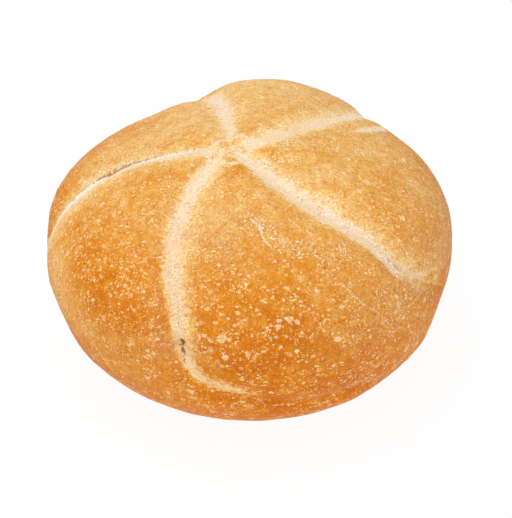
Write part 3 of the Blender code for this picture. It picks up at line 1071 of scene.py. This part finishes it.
def crust_material():
    """The whole crust, from the bare baked colour to the last tear."""
    material = bpy.data.materials.new("golden_crust")
    material.use_nodes = True
    tree = material.node_tree
    shader = tree.nodes["Principled BSDF"]
    place = add(tree, "TexCoord", output="Object")
    bent, drawn_out = bent_places(tree, place)
    crust, floor, mottle, grain = baked(tree, place)
    bare = math_node(tree, "SUBTRACT", 1.0, product(tree, floor, BARE_SHARE))
    crust = with_bloom_shade_and_sheen(tree, crust, place)
    crust, fine, medium = specked(tree, crust, place, bent, drawn_out, bare)
    crust = blistered(tree, crust, place, bare)
    flakes = flake_mask(tree, bent)
    crust = mix_colours(tree, product(tree, flakes, FLAKE_STRENGTH), crust, FLAKE)
    seam = seam_mask(tree, place)
    crust = mix_colours(tree, product(tree, seam, SEAM_STRENGTH), crust, FLAKE)
    crust = gritty_and_shaded(tree, crust, place, floor)
    pores = dots(tree, bent, PORE_SPACING, blend(tree, floor, *PORE_SHARES), PORE_SIZE)
    crust = mix_colours(tree, product(tree, pores, PORE_STRENGTH), crust, PORE)
    torn, lip = tear_masks(tree, place)
    crust = mix_colours(tree, product(tree, lip, LIP_STRENGTH), crust, IVORY)
    covering = blend(tree, read(tree, "tear_lip"), *TORN_STRENGTHS)
    crust = mix_colours(tree, product(tree, torn, covering), crust, TORN)
    crust = mix_colours(tree, product(tree, read(tree, "tray"), TRAY_STRENGTH), crust, TRAY_BROWN)
    tree.links.new(shaded(tree, crust, grain, floor), shader.inputs["Base Color"])

    height = product(tree, mottle, MOTTLE_BUMP)
    # How far each mask stands out, in millimetres. Pores and tears go in.
    raised = ((grain, 0.06), (fine, 0.05), (medium, 0.10), (pores, -0.05), (torn, -0.25), (flakes, 0.08))
    for mask, share in (*raised, (seam, 0.06)):
        height = plus(tree, height, mask, share)
    bump = add(tree, "Bump", {"Height": height, "Distance": 1 * MM, "Strength": BUMP_STRENGTH})
    tree.links.new(bump, shader.inputs["Normal"])
    shader.inputs["Roughness"].default_value = ROUGHNESS
    shader.inputs["Specular IOR Level"].default_value = SPECULAR
    print("nodes in the crust:", len(tree.nodes))
    return material


mesh.materials.append(crust_material())
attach(roll, "root")
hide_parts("roll")

# %% [markdown]
# ## The studio
# The roll lies on a pale floor in soft light, as in a shop's picture. A white world lights it from all round,
# one large lamp above and to the left gives it form, and another in front brightens the side that we see. Big
# lamps make soft shadows. Their sizes are in metres and their power in watts.

# %% Floor, world and lamps
FLOOR_SIZE = 6.0
FLOOR_GREY = 0.08
FLOOR_GLOW = 0.93  # the paper is lit so strongly in the photo that it comes out white
WORLD_STRENGTH = 0.69
LAMP_AIM = (0, 0, 20 * MM)


def make_floor():
    """A large sheet of white paper, on which only a faint shadow shows."""
    sheet = bmesh.new()
    bmesh.ops.create_grid(sheet, x_segments=1, y_segments=1, size=FLOOR_SIZE / 2)
    floor_mesh = bpy.data.meshes.new("floor")
    sheet.to_mesh(floor_mesh)
    sheet.free()
    floor = bpy.data.objects.new("floor", floor_mesh)
    bpy.context.scene.collection.objects.link(floor)
    paper = bpy.data.materials.new("white_paper")
    paper.use_nodes = True
    shader = paper.node_tree.nodes["Principled BSDF"]
    shader.inputs["Base Color"].default_value = (FLOOR_GREY, FLOOR_GREY, FLOOR_GREY, 1)
    shader.inputs["Roughness"].default_value = 0.9
    shader.inputs["Specular IOR Level"].default_value = 0
    shader.inputs["Emission Color"].default_value = (1, 1, 1, 1)
    shader.inputs["Emission Strength"].default_value = FLOOR_GLOW
    floor_mesh.materials.append(paper)
    return floor


def make_lamp(name, place, aim, size, power):
    """A round lamp of this size and power, turned towards its aim."""
    lamp = bpy.data.lights.new(name, "AREA")
    lamp.shape = "DISK"
    lamp.size = size
    lamp.energy = power
    holder = bpy.data.objects.new(name, lamp)
    holder.location = place
    holder.rotation_euler = (Vector(aim) - Vector(place)).to_track_quat("-Z", "Y").to_euler()
    bpy.context.scene.collection.objects.link(holder)


make_floor()
world = bpy.data.worlds.new("white_room")
world.use_nodes = True
world.node_tree.nodes["Background"].inputs["Color"].default_value = (1, 1, 1, 1)
world.node_tree.nodes["Background"].inputs["Strength"].default_value = WORLD_STRENGTH
bpy.context.scene.world = world
make_lamp("key", (-0.3, 0.1, 0.85), LAMP_AIM, size=0.5, power=2.6)
make_lamp("front", (0.1, -0.9, 0.4), LAMP_AIM, size=0.6, power=2.0)
bpy.context.scene.view_settings.view_transform = "Standard"

# %% [markdown]
# ## The camera
# A long lens from half a metre away, looking down at 43 degrees, gives the flat perspective of a product
# picture. The lens follows from how many pixels of the picture a millimetre at the roll takes.

# %% Camera
ELEVATION = math.radians(43)
DISTANCE = 0.5528
AIM = Vector((1.33 * MM, 0, 22.9 * MM))
PIXELS_PER_METRE = 4210
PICTURE_HEIGHT = 518
SENSOR = 36

camera = bpy.data.cameras.new("camera")
camera.sensor_width = SENSOR
camera.lens = PIXELS_PER_METRE * DISTANCE * SENSOR / PICTURE_HEIGHT
camera.clip_start = 0.01
backward = Vector((0, -math.cos(ELEVATION), math.sin(ELEVATION)))
tripod = bpy.data.objects.new("camera", camera)
tripod.location = AIM + backward * DISTANCE
tripod.rotation_euler = backward.to_track_quat("Z", "Y").to_euler()
bpy.context.scene.collection.objects.link(tripod)
bpy.context.scene.camera = tripod
print("lens, mm:", round(camera.lens, 1))
